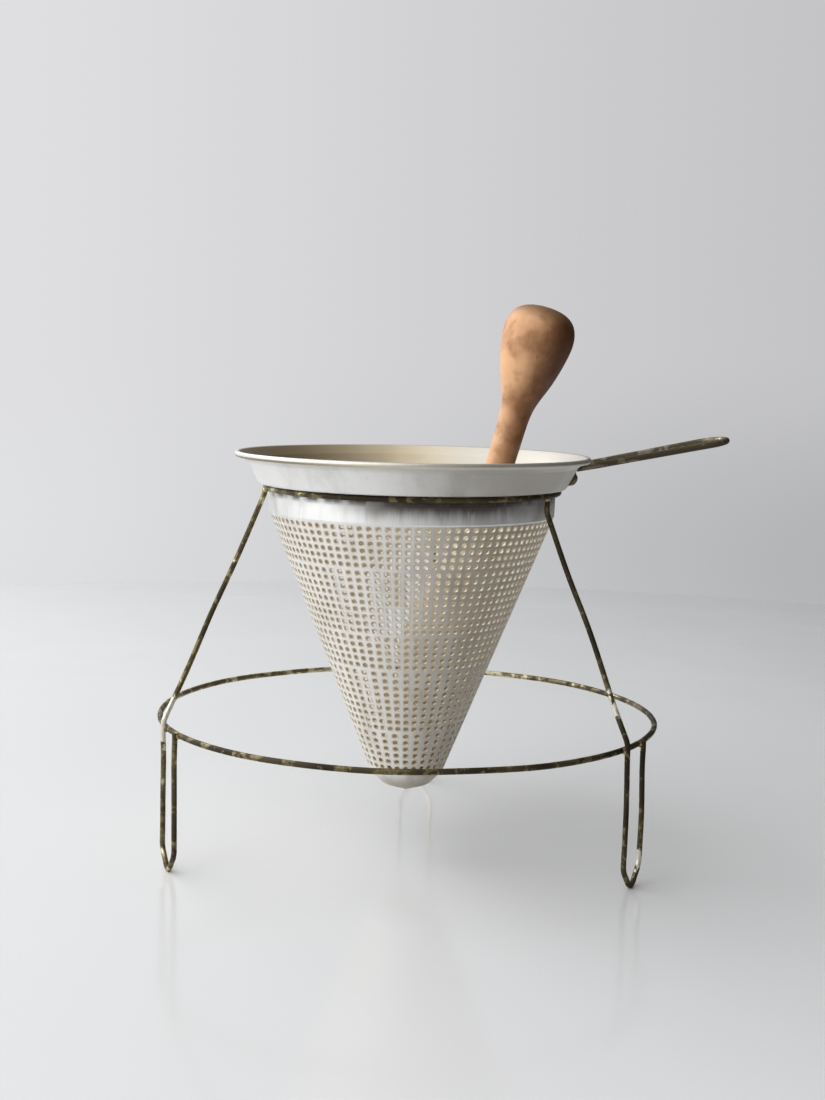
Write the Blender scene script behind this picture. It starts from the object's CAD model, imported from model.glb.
import math

import bmesh
import bpy
from bpy.props import FloatProperty, FloatVectorProperty, IntProperty, PointerProperty
from mathutils import Matrix, Vector, noise


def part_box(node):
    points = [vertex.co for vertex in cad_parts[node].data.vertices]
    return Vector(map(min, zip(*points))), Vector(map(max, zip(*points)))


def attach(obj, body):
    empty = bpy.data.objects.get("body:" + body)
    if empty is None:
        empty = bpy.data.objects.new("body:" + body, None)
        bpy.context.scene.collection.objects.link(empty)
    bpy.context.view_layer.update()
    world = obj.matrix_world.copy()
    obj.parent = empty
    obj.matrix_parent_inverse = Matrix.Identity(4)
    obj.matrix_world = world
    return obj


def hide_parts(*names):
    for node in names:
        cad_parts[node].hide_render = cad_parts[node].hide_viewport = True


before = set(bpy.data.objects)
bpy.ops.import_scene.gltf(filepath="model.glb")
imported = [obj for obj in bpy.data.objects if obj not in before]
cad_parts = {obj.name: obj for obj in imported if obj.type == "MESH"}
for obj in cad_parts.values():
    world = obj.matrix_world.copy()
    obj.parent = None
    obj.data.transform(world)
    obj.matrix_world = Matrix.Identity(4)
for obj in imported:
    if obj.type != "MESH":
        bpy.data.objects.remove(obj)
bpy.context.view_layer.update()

bl_info = {
    "name": "Conical Food Press",
    "version": (1, 0, 0),
    "blender": (4, 5, 0),
    "location": "View3D > Sidebar > Food Press",
    "description": "Cone sieve in a wire stand, with its riveted wire handle and turned pestle",
    "category": "Add Mesh",
}

MM = 0.001

# ---------------------------------------------------------------- sizes read from the frame


def ring_sizes(node):
    """Centreline radius, height and wire radius of a level hoop."""
    low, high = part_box(node)
    wire = (high.z - low.z) / 2
    return high.x - wire, (high.z + low.z) / 2, wire


UPPER_RADIUS, UPPER_HEIGHT, RING_WIRE = ring_sizes("upper_ring")
LOWER_RADIUS, LOWER_HEIGHT, _ = ring_sizes("lower_ring")
SIEVE_LOW, SIEVE_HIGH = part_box("sieve")
RIM_RADIUS = SIEVE_HIGH.x
TIP_HEIGHT = SIEVE_LOW.z
RIM_BEAD = 1.5 * MM
RIM_CENTRE = Vector((RIM_RADIUS - RIM_BEAD, 0, SIEVE_HIGH.z - RIM_BEAD))
STEP_HEIGHT = UPPER_HEIGHT + RING_WIRE + 0.3 * MM


# ---------------------------------------------------------------- settings in the sidebar

def length(name, description, default):
    return FloatProperty(name=name, description=description, default=default, min=0, unit="LENGTH")


def angle(name, description, degrees):
    return FloatProperty(
        name=name, description=description, default=math.radians(degrees), subtype="ANGLE", unit="ROTATION"
    )


def color(name, description, default):
    return FloatVectorProperty(
        name=name, description=description, default=default, size=4, min=0, max=1, subtype="COLOR"
    )


class SieveSettings(bpy.types.PropertyGroup):
    """Sizes and colours of the cone sieve."""
    sheet: length("Sheet", "Thickness of the pressed sheet", 1.0 * MM)
    hole: length("Hole", "Diameter of one perforation", 2.75 * MM)
    row_pitch: length("Row Pitch", "Distance between rows, along the cone", 4.238 * MM)
    first_row: length("First Row", "Height of the top row of holes", 180.1 * MM)
    column_azimuth: angle("Column Azimuth", "Where all tiers have a column in line", -91.4)
    metal: color("Metal", "Clean aluminium", (0.76, 0.76, 0.745, 1))
    stain: color("Stain", "Stained inside", (0.70, 0.60, 0.42, 1))


class StandSettings(bpy.types.PropertyGroup):
    """Sizes and colours of the wire stand."""
    leg_wire: length("Leg Wire", "Diameter of the legs' wire", 2.8 * MM)
    prong_spacing: length("Prong Spacing", "Between a leg's two prongs", 19.0 * MM)
    prong_top: length("Prong Top", "Height at which the first prong starts", 76.0 * MM)
    foot_point: length("Foot Point", "Height at which the foot's V starts", 11.0 * MM)
    dark: color("Dark", "Tarnished wire", (0.020, 0.014, 0.007, 1))
    olive: color("Olive", "Half-worn plating", (0.155, 0.125, 0.052, 1))
    bright: color("Bright", "Plating that is still clean", (0.55, 0.50, 0.31, 1))


class HandleSettings(bpy.types.PropertyGroup):
    """Sizes and colours of the wire handle and its rivets."""
    azimuth: angle("Azimuth", "Direction of the handle", 12.0)
    wire: length("Wire", "Diameter of the handle's wire", 3.5 * MM)
    pad_angle: angle("Pad Angle", "From the handle's middle to each pad", 4.1)
    pad_radius: length("Pad Radius", "Radius of each flattened end", 4.5 * MM)
    pad_thickness: length("Pad Thickness", "Thickness of each flattened end", 3.0 * MM)
    pad_height: length("Pad Height", "Height of the pads' middle", 202.7 * MM)
    tip_half_width: length("Tip Half Width", "Half the width across the tip", 13.0 * MM)
    dark: color("Dark", "Tarnished wire", (0.06, 0.046, 0.028, 1))
    pale: color("Pale", "Worn wire", (0.46, 0.42, 0.34, 1))
    rust: color("Rust", "Rust", (0.20, 0.115, 0.05, 1))


class PestleSettings(bpy.types.PropertyGroup):
    """Sizes and colours of the wooden pestle."""
    length: length("Length", "From the blunt point to the knob's end", 268.0 * MM)
    lean: angle("Lean", "Lean from upright, towards the handle", 15.1)
    cross_height: length("Cross Height", "Where its axis crosses the sieve's", 35.9 * MM)
    cross_reach: length("Cross Reach", "From the blunt point to that crossing", 1.2 * MM)
    wood: color("Wood", "Clean wood", (0.43, 0.20, 0.085, 1))
    worn: color("Worn", "Pale worn wood", (0.60, 0.345, 0.19, 1))
    oiled: color("Oiled", "Dark oiled wood", (0.13, 0.045, 0.013, 1))


class StageSettings(bpy.types.PropertyGroup):
    """Floor, lamps and camera."""
    floor: color("Floor", "Floor", (0.712, 0.712, 0.717, 1))
    wall: color("Wall", "Backdrop on the right", (0.535, 0.535, 0.55, 1))
    wall_left: color("Wall Left", "Backdrop on the left", (0.755, 0.755, 0.77, 1))
    key_power: FloatProperty(name="Key Power", description="Big soft lamp", default=77.0, unit="POWER")
    lens: FloatProperty(name="Lens", description="Focal length in millimetres", default=54.13)
    yaw: angle("Yaw", "Camera turned to the right", 0.2475)
    pitch: angle("Pitch", "Camera tipped down", 6.2935)
    roll: angle("Roll", "Camera rolled", 1.2586)


# ---------------------------------------------------------------- mesh helpers

def link(name, mesh):
    """A new object of this mesh at the origin."""
    piece = bpy.data.objects.new(name, mesh)
    bpy.context.scene.collection.objects.link(piece)
    return piece


def settle(piece):
    """Turn the piece's modifiers into plain mesh, and take them off."""
    bpy.context.view_layer.update()
    depsgraph = bpy.context.evaluated_depsgraph_get()
    mesh = bpy.data.meshes.new_from_object(piece.evaluated_get(depsgraph))
    piece.modifiers.clear()
    piece.data = mesh
    return piece


def smooth(piece, degrees=35):
    """Shade smooth, with edges sharper than this kept crisp."""
    piece.data.shade_smooth()
    piece.data.set_sharp_from_angle(angle=math.radians(degrees))


def hand_over(piece, body, slot, *nodes):
    """Give the finished piece to the body that carries it, in place of its CAD nodes."""
    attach(piece, body)
    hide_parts(*nodes)


def around(radius, azimuth, height):
    """The point at that radius, azimuth in radians and height."""
    return Vector((radius * math.cos(azimuth), radius * math.sin(azimuth), height))


def rounded_line(corners, bends, steps=9):
    """Points along straight runs through the corners, with an arc of its own radius at each."""
    line = [corners[0]]
    for before, corner, after, bend in zip(corners, corners[1:], corners[2:], bends):
        to_before = (before - corner).normalized()
        to_after = (after - corner).normalized()
        half_turn = (math.pi - to_before.angle(to_after)) / 2
        inward = (to_before + to_after).normalized()
        centre = corner + inward * (bend / math.cos(half_turn))
        start = corner + to_before * bend * math.tan(half_turn) - centre
        end = corner + to_after * bend * math.tan(half_turn) - centre
        sweep = 2 * half_turn
        for i in range(steps + 1):
            before_share = math.sin(sweep * (1 - i / steps)) / math.sin(sweep)
            after_share = math.sin(sweep * i / steps) / math.sin(sweep)
            line.append(centre + start * before_share + end * after_share)
    line.append(corners[-1])
    return line


def divided(line, longest):
    """The same line with no run longer than this."""
    points = [line[0]]
    for start, end in zip(line, line[1:]):
        parts = max(1, math.ceil((end - start).length / longest))
        points += [start.lerp(end, i / parts) for i in range(1, parts + 1)]
    return points


def wavy(point, amount, scale=38.0):
    """The point moved a little, as hand-bent wire is never quite straight."""
    return point + noise.noise_vector(point * scale) * amount


def add_tube(bm, line, radius, sides=16, closed=False):
    """A round tube along the line. radius is a number, or a function of the share along it."""
    count = len(line)
    radius_at = radius if callable(radius) else (lambda share: radius)
    across = Vector((0, 0, 1))
    rings = []
    for i, point in enumerate(line):
        if closed:
            along = (line[(i + 1) % count] - line[i - 1]).normalized()
        else:
            along = (line[min(i + 1, count - 1)] - line[max(i - 1, 0)]).normalized()
        if i == 0 and abs(along.z) > 0.9:
            across = Vector((1, 0, 0))
        across = (across - along * across.dot(along)).normalized()
        side = along.cross(across)
        reach = radius_at(i / (count - 1))
        turns = [2 * math.pi * k / sides for k in range(sides)]
        rings.append([
            bm.verts.new(point + (across * math.cos(turn) + side * math.sin(turn)) * reach) for turn in turns
        ])
    pairs = list(zip(rings, rings[1:]))
    if closed:
        pairs.append((rings[-1], rings[0]))
    for first, second in pairs:
        for k in range(sides):
            after = (k + 1) % sides
            bm.faces.new((first[k], first[after], second[after], second[k]))
    if not closed:
        bm.faces.new(list(reversed(rings[0])))
        bm.faces.new(rings[-1])


def add_lathe(bm, outline, segments, phase=0.0):
    """Turn an outline of (radius, -, height) points round the Z axis, with its poles closed."""
    rings = []
    for point in outline:
        if point.x < 1e-7:
            rings.append([bm.verts.new((0, 0, point.z))])
            continue
        turns = [phase + 2 * math.pi * k / segments for k in range(segments)]
        rings.append([bm.verts.new(around(point.x, turn, point.z)) for turn in turns])
    for lower, upper in zip(rings, rings[1:]):
        for k in range(segments):
            after = (k + 1) % segments
            corners = [lower[k % len(lower)], lower[after % len(lower)]]
            corners += [upper[after % len(upper)], upper[k % len(upper)]]
            bm.faces.new(list(dict.fromkeys(corners)))
    return rings


def zip_rings(bm, lower, upper):
    """Close the strip between two rings of points that differ in number."""
    def turn_of(vertex):
        return math.atan2(vertex.co.y, vertex.co.x)

    lower = sorted(lower, key=turn_of)
    upper = sorted(upper, key=turn_of)
    i = 0
    j = 0
    while i < len(lower) or j < len(upper):
        here = lower[i % len(lower)]
        there = upper[j % len(upper)]
        next_here = turn_of(lower[(i + 1) % len(lower)]) + 2 * math.pi * ((i + 1) // len(lower))
        next_there = turn_of(upper[(j + 1) % len(upper)]) + 2 * math.pi * ((j + 1) // len(upper))
        if j == len(upper) or (i < len(lower) and next_here <= next_there):
            bm.faces.new((here, lower[(i + 1) % len(lower)], there))
            i += 1
        else:
            bm.faces.new((here, upper[(j + 1) % len(upper)], there))
            j += 1


def spline_points(poles, resolution):
    """Points on the clamped cubic spline that has these control points."""
    curve = bpy.data.curves.new("outline", "CURVE")
    curve.dimensions = "3D"
    curve.resolution_u = resolution
    spline = curve.splines.new("NURBS")
    spline.points.add(len(poles) - 1)
    for point, pole in zip(spline.points, poles):
        point.co = (*pole, 1)
    spline.order_u = 4
    spline.use_endpoint_u = True
    holder = link("outline", curve)
    bpy.context.view_layer.update()
    mesh = bpy.data.meshes.new_from_object(holder)
    points = [vertex.co.copy() for vertex in mesh.vertices]
    bpy.data.objects.remove(holder)
    return points


def to_object(name, bm):
    """An object of the bmesh, which is freed."""
    mesh = bpy.data.meshes.new(name)
    bm.normal_update()
    bm.to_mesh(mesh)
    bm.free()
    return link(name, mesh)


# ---------------------------------------------------------------- node helpers

def add_node(tree, kind, inputs=None, **settings):
    """A new node. An input given as a socket is linked, anything else is its value."""
    made = tree.nodes.new(kind)
    for key, value in settings.items():
        setattr(made, key, value)
    for key, value in (inputs or {}).items():
        if isinstance(value, bpy.types.NodeSocket):
            tree.links.new(value, made.inputs[key])
        else:
            made.inputs[key].default_value = value
    return made


def math_node(tree, operation, first, second=0.0):
    return add_node(tree, "ShaderNodeMath", {0: first, 1: second}, operation=operation).outputs[0]


def steps(tree, value, low, high, to_low=0.0, to_high=1.0):
    """The value, drawn from one range to another and held inside it."""
    inputs = {"Value": value, "From Min": low, "From Max": high, "To Min": to_low, "To Max": to_high}
    return add_node(tree, "ShaderNodeMapRange", inputs, interpolation_type="SMOOTHSTEP").outputs[0]


def mixed(tree, factor, first, second):
    """The first colour where the factor is 0, the second where it is 1."""
    node = add_node(tree, "ShaderNodeMix", data_type="RGBA")
    for index, value in ((0, factor), (6, first), (7, second)):
        if isinstance(value, bpy.types.NodeSocket):
            tree.links.new(value, node.inputs[index])
        else:
            node.inputs[index].default_value = value
    return node.outputs[2]


def cloud(tree, place, scale, detail=4.0, rough=0.55, warp=0.0):
    """A soft noise value around a half."""
    inputs = {"Vector": place, "Scale": scale, "Detail": detail, "Roughness": rough, "Distortion": warp}
    return add_node(tree, "ShaderNodeTexNoise", inputs).outputs["Fac"]


def placed(tree, scale=(1, 1, 1), turn=(0, 0, 0)):
    """Object coordinates, turned and stretched."""
    coordinates = add_node(tree, "ShaderNodeTexCoord").outputs["Object"]
    inputs = {"Vector": coordinates, "Scale": scale, "Rotation": turn}
    return add_node(tree, "ShaderNodeMapping", inputs).outputs[0]


def new_group(name, kind, sockets, outputs):
    """A node group with the named inputs and outputs."""
    group = bpy.data.node_groups.new(name, kind)
    for label, socket_type, default in sockets:
        made = group.interface.new_socket(name=label, in_out="INPUT", socket_type=socket_type)
        if default is not None:
            made.default_value = default
    for label, socket_type in outputs:
        group.interface.new_socket(name=label, in_out="OUTPUT", socket_type=socket_type)
    return group, group.nodes.new("NodeGroupInput"), group.nodes.new("NodeGroupOutput")


def use_group(tree, group, **inputs):
    """The group placed in a material with its own values."""
    node = tree.nodes.new("ShaderNodeGroup")
    node.node_tree = group
    for key, value in inputs.items():
        socket = node.inputs[key.replace("_", " ")]
        if isinstance(value, bpy.types.NodeSocket):
            tree.links.new(value, socket)
        else:
            socket.default_value = value
    return node


def new_material(name, display):
    """An empty node material with its Principled shader."""
    material = bpy.data.materials.new(name)
    material.use_nodes = True
    material.diffuse_color = display
    tree = material.node_tree
    tree.nodes.clear()
    shader = tree.nodes.new("ShaderNodeBsdfPrincipled")
    output = tree.nodes.new("ShaderNodeOutputMaterial")
    tree.links.new(shader.outputs[0], output.inputs["Surface"])
    return material, tree, shader


def feed(tree, shader, **inputs):
    """Set or link inputs of the shader."""
    for key, value in inputs.items():
        socket = shader.inputs[key.replace("_", " ")]
        if isinstance(value, bpy.types.NodeSocket):
            tree.links.new(value, socket)
        else:
            socket.default_value = value


def bumped(tree, height, strength, distance):
    inputs = {"Height": height, "Strength": strength, "Distance": distance}
    return add_node(tree, "ShaderNodeBump", inputs).outputs[0]


# ---------------------------------------------------------------- shared shader groups

def blotch_group():
    """Group: soft blotches and sharp specks, for stains, tarnish and wear."""
    if "blotches" in bpy.data.node_groups:
        return bpy.data.node_groups["blotches"]
    group, given, result = new_group(
        "blotches", "ShaderNodeTree",
        (("Place", "NodeSocketVector", None), ("Blotch Scale", "NodeSocketFloat", 40.0),
         ("Speck Scale", "NodeSocketFloat", 400.0), ("Amount", "NodeSocketFloat", 0.5)),
        (("Blotch", "NodeSocketFloat"), ("Speck", "NodeSocketFloat"), ("Grain", "NodeSocketFloat")),
    )
    place = given.outputs["Place"]
    broad = cloud(group, place, given.outputs["Blotch Scale"], 5.0, 0.6, 0.4)
    edge = math_node(group, "SUBTRACT", 1.0, given.outputs["Amount"])
    low = math_node(group, "SUBTRACT", edge, 0.12)
    high = math_node(group, "ADD", edge, 0.12)
    group.links.new(steps(group, broad, low, high), result.inputs["Blotch"])
    fine = cloud(group, place, given.outputs["Speck Scale"], 3.0, 0.7)
    group.links.new(steps(group, fine, 0.60, 0.68), result.inputs["Speck"])
    group.links.new(fine, result.inputs["Grain"])
    return group


def spun_group():
    """Group: fine rings left by spinning, and upright smears left by use."""
    if "spun_marks" in bpy.data.node_groups:
        return bpy.data.node_groups["spun_marks"]
    group, given, result = new_group(
        "spun_marks", "ShaderNodeTree",
        (("Ring Scale", "NodeSocketFloat", 900.0), ("Smear Scale", "NodeSocketFloat", 60.0)),
        (("Rings", "NodeSocketFloat"), ("Smears", "NodeSocketFloat")),
    )
    coordinates = add_node(group, "ShaderNodeTexCoord").outputs["Object"]
    parts = add_node(group, "ShaderNodeSeparateXYZ", {0: coordinates})
    up = add_node(group, "ShaderNodeCombineXYZ", {"Z": parts.outputs["Z"]}).outputs[0]
    rings = cloud(group, up, given.outputs["Ring Scale"], 2.0, 0.6)
    group.links.new(rings, result.inputs["Rings"])
    squeezed = math_node(group, "MULTIPLY", parts.outputs["Z"], 0.16)
    flat = add_node(
        group, "ShaderNodeCombineXYZ", {"X": parts.outputs["X"], "Y": parts.outputs["Y"], "Z": squeezed}
    ).outputs[0]
    smears = cloud(group, flat, given.outputs["Smear Scale"], 4.0, 0.6, 0.3)
    group.links.new(smears, result.inputs["Smears"])
    return group


# ---------------------------------------------------------------- materials

def aluminium_material(settings):
    """Satin aluminium: faint spun rings, upright smears, scuffs and a few dark specks."""
    material, tree, shader = new_material("satin_aluminium", settings.metal)
    marks = use_group(tree, spun_group(), Ring_Scale=1100.0, Smear_Scale=70.0)
    blots = use_group(
        tree, blotch_group(), Place=placed(tree), Blotch_Scale=30.0, Speck_Scale=520.0, Amount=0.42
    )
    dull = mixed(tree, blots.outputs["Blotch"], settings.metal, (0.72, 0.71, 0.68, 1))
    smeared = mixed(
        tree, steps(tree, marks.outputs["Smears"], 0.5, 0.75, 0.0, 0.28), dull, (0.50, 0.49, 0.46, 1)
    )
    specks = math_node(tree, "MULTIPLY", blots.outputs["Speck"], 0.12)
    body = mixed(tree, specks, smeared, (0.30, 0.28, 0.24, 1))
    where = add_node(tree, "ShaderNodeSeparateXYZ", {0: placed(tree)})
    uneven = math_node(tree, "MULTIPLY", math_node(tree, "SUBTRACT", marks.outputs["Smears"], 0.5), 60.0 * MM)
    across = math_node(tree, "ADD", where.outputs["X"], uneven)
    handled = math_node(tree, "MULTIPLY", steps(tree, across, -38.0 * MM, 55.0 * MM, 0.0, 0.9), steps(
        tree, where.outputs["Z"], 192.0 * MM, 184.0 * MM, 0.8, 1.0))
    body = mixed(tree, handled, body, (0.29, 0.26, 0.21, 1))
    brim = steps(tree, where.outputs["Z"], 208.5 * MM, 211.0 * MM, 0.0, 0.5)
    body = mixed(tree, brim, body, (0.50, 0.48, 0.42, 1))
    dome = steps(tree, where.outputs["Z"], 43.0 * MM, 35.0 * MM, 0.0, 0.8)
    body = mixed(tree, dome, body, (0.33, 0.295, 0.215, 1))
    tip = steps(tree, where.outputs["Z"], 36.0 * MM, 31.0 * MM, 0.0, 0.7)
    body = mixed(tree, tip, body, (0.20, 0.165, 0.09, 1))
    near_hole = add_node(tree, "ShaderNodeAttribute", attribute_name="near_hole").outputs["Fac"]
    body = mixed(tree, steps(tree, near_hole, 0.3, 0.9, 0.0, 0.75), body, (0.56, 0.48, 0.33, 1))
    rough = steps(tree, marks.outputs["Smears"], 0.3, 0.8, 0.34, 0.52)
    relief = math_node(tree, "ADD", marks.outputs["Rings"], math_node(
        tree, "MULTIPLY", marks.outputs["Smears"], 3.0))
    feed(
        tree, shader, Base_Color=body, Metallic=0.5, Roughness=rough,
        Normal=bumped(tree, relief, 0.22, 0.12 * MM),
    )
    return material


def bright_band_material(settings):
    """The plain band under the collar: polished by the ring, with dents that pull the light about."""
    material, tree, shader = new_material("rubbed_aluminium", settings.metal)
    marks = use_group(tree, spun_group(), Ring_Scale=900.0, Smear_Scale=110.0)
    height = add_node(tree, "ShaderNodeSeparateXYZ", {0: placed(tree)}).outputs["Z"]
    near_ring = steps(tree, height, STEP_HEIGHT - 7.0 * MM, STEP_HEIGHT - 3.5 * MM)
    across = add_node(tree, "ShaderNodeSeparateXYZ", {0: placed(tree)}).outputs["X"]
    sooty = math_node(tree, "MULTIPLY", steps(tree, across, -48.0 * MM, -5.0 * MM), steps(
        tree, across, 66.0 * MM, 40.0 * MM, 0.35, 1.0))
    wander = math_node(tree, "MULTIPLY", math_node(tree, "SUBTRACT", marks.outputs["Smears"], 0.5), 9.0 * MM)
    reach = math_node(tree, "ADD", height, wander)
    sooty = math_node(tree, "MULTIPLY", sooty, steps(
        tree, reach, STEP_HEIGHT - 14.5 * MM, STEP_HEIGHT - 6.0 * MM, 0.0, 0.95))
    smears = steps(tree, marks.outputs["Smears"], 0.40, 0.62)
    streaks = math_node(tree, "MULTIPLY", near_ring, steps(tree, marks.outputs["Smears"], 0.62, 0.42))
    body = mixed(tree, math_node(tree, "MULTIPLY", smears, 0.35), settings.metal, (0.55, 0.53, 0.49, 1))
    body = mixed(tree, sooty, body, (0.042, 0.028, 0.018, 1))
    body = mixed(tree, math_node(tree, "MULTIPLY", streaks, 0.9), body, (0.035, 0.03, 0.025, 1))
    low = steps(tree, reach, STEP_HEIGHT - 5.0 * MM, STEP_HEIGHT - 9.5 * MM, 0.0, 0.75)
    glints = math_node(tree, "MULTIPLY", low, steps(tree, marks.outputs["Smears"], 0.56, 0.66))
    body = mixed(tree, glints, body, (0.84, 0.84, 0.82, 1))
    rough = steps(tree, height, STEP_HEIGHT - 9.0 * MM, STEP_HEIGHT - 3.0 * MM, 0.36, 0.20)
    feed(
        tree, shader, Base_Color=body, Metallic=steps(tree, sooty, 0.0, 0.9, 0.6, 0.25), Roughness=rough,
        Normal=bumped(tree, marks.outputs["Smears"], 0.5, 0.8 * MM),
    )
    return material


def stained_material(settings):
    """The inside, stained tan and brown by years of fruit."""
    material, tree, shader = new_material("stained_aluminium", settings.stain)
    place = placed(tree)
    blots = use_group(
        tree, blotch_group(), Place=place, Blotch_Scale=26.0, Speck_Scale=300.0, Amount=0.5
    )
    tan = mixed(tree, blots.outputs["Blotch"], settings.stain, (0.66, 0.57, 0.41, 1))
    brown = steps(tree, cloud(tree, place, 14.0, 3.0), 0.45, 0.70, 0.0, 0.3)
    body = mixed(tree, brown, tan, (0.36, 0.27, 0.16, 1))
    where = add_node(tree, "ShaderNodeSeparateXYZ", {0: place})
    lift = math_node(tree, "ADD", where.outputs["X"], math_node(tree, "MULTIPLY", where.outputs["Z"], 0.8))
    pale = steps(tree, lift, 115.0 * MM, 40.0 * MM, 0.0, 0.85)
    body = mixed(tree, pale, body, (0.84, 0.77, 0.62, 1))
    collar = steps(tree, where.outputs["Z"], 185.0 * MM, 200.0 * MM)
    deep = steps(tree, lift, 95.0 * MM, 170.0 * MM, 0.0, 0.85)
    deep = math_node(tree, "MULTIPLY", deep, math_node(tree, "SUBTRACT", 1.0, collar))
    body = mixed(tree, deep, body, (0.31, 0.25, 0.155, 1))
    wiped = math_node(tree, "MULTIPLY", collar, steps(tree, where.outputs["X"], -10.0 * MM, 45.0 * MM))
    body = mixed(tree, wiped, body, (0.56, 0.53, 0.465, 1))
    browned = math_node(tree, "MULTIPLY", collar, steps(
        tree, where.outputs["X"], 8.0 * MM, -78.0 * MM, 0.0, 0.87))
    body = mixed(tree, browned, body, (0.165, 0.115, 0.055, 1))
    feed(
        tree, shader, Base_Color=body, Metallic=0.1, Roughness=0.46,
        Normal=bumped(tree, blots.outputs["Grain"], 0.12, 0.15 * MM),
    )
    return material


def hole_edge_material(settings):
    """The cut edges of the holes, which hold a brown residue."""
    material, tree, shader = new_material("hole_edges", settings.stain)
    residue = steps(tree, cloud(tree, placed(tree), 120.0, 3.0), 0.35, 0.65)
    body = mixed(tree, residue, (0.78, 0.70, 0.54, 1), (0.60, 0.52, 0.37, 1))
    feed(tree, shader, Base_Color=body, Metallic=0.3, Roughness=0.5)
    return material


def wire_material(name, dark, olive, bright, worn_side, turn=(0, 0, 0), chips=()):
    """Old plated wire: brassy olive plating under dark tarnish that has flaked off in patches.

    Each chip is a place, and how far the bright metal reaches round it.
    """
    material, tree, shader = new_material(name, olive)
    place = placed(tree, turn=turn)
    depth = add_node(tree, "ShaderNodeSeparateXYZ", {0: place}).outputs["Y"]
    side = steps(tree, depth, worn_side[0], worn_side[1])
    drift = cloud(tree, place, 22.0, 2.0)
    flaking = math_node(tree, "ADD", math_node(tree, "MULTIPLY", side, 0.16), math_node(
        tree, "MULTIPLY", drift, 0.34))
    edge = math_node(tree, "ADD", cloud(tree, place, 150.0, 5.0, 0.62, 0.5), flaking)
    bare = steps(tree, edge, 0.715, 0.75)
    rubbed = steps(tree, edge, 0.82, 0.90)
    here = placed(tree)
    ragged = math_node(tree, "MULTIPLY", math_node(tree, "SUBTRACT", edge, 0.66), 42.0 * MM)
    chipped = 0.0
    for point, reach in chips:
        away = add_node(tree, "ShaderNodeVectorMath", {0: here, 1: tuple(point)}, operation="DISTANCE")
        away = math_node(tree, "SUBTRACT", away.outputs["Value"], ragged)
        chipped = math_node(tree, "MAXIMUM", chipped, steps(tree, away, reach, reach * 0.85))
    fine = use_group(
        tree, blotch_group(), Place=place, Blotch_Scale=420.0, Speck_Scale=900.0, Amount=0.4
    )
    film = mixed(tree, steps(tree, drift, 0.40, 0.60, 0.0, 0.3), dark, olive)
    film = mixed(tree, math_node(tree, "MULTIPLY", side, 0.5), film, olive)
    shine = mixed(tree, rubbed, olive, bright)
    shine = mixed(tree, math_node(tree, "MULTIPLY", fine.outputs["Blotch"], 0.35), shine, dark)
    body = mixed(tree, bare, film, shine)
    body = mixed(tree, chipped, body, (0.62, 0.59, 0.49, 1))
    thickness = math_node(tree, "SUBTRACT", 1.0, bare)
    relief = math_node(tree, "ADD", thickness, math_node(tree, "MULTIPLY", fine.outputs["Grain"], 0.5))
    feed(
        tree, shader, Base_Color=body, Metallic=steps(tree, bare, 0.0, 1.0, 0.0, 0.6),
        Roughness=steps(tree, bare, 0.0, 1.0, 0.5, 0.3), Specular_IOR_Level=0.12,
        Normal=bumped(tree, relief, 0.6, 0.2 * MM),
    )
    return material


def brass_material():
    """Brazing at the joints: brassy, half covered by soot."""
    material, tree, shader = new_material("brazing", (0.30, 0.22, 0.09, 1))
    place = placed(tree)
    blots = use_group(
        tree, blotch_group(), Place=place, Blotch_Scale=240.0, Speck_Scale=900.0, Amount=0.5
    )
    body = mixed(tree, blots.outputs["Blotch"], (0.07, 0.045, 0.02, 1), (0.50, 0.37, 0.16, 1))
    feed(
        tree, shader, Base_Color=body, Metallic=0.8, Roughness=0.36,
        Normal=bumped(tree, blots.outputs["Grain"], 0.5, 0.2 * MM),
    )
    return material


def rust_material(settings):
    """Rivets: dull steel under rust."""
    material, tree, shader = new_material("rusty_rivets", settings.rust)
    blots = use_group(
        tree, blotch_group(), Place=placed(tree), Blotch_Scale=300.0, Speck_Scale=1200.0, Amount=0.6
    )
    body = mixed(tree, blots.outputs["Blotch"], (0.16, 0.12, 0.085, 1), settings.rust)
    feed(
        tree, shader, Base_Color=body, Metallic=0.4, Roughness=0.55,
        Normal=bumped(tree, blots.outputs["Grain"], 0.5, 0.2 * MM),
    )
    return material


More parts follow.
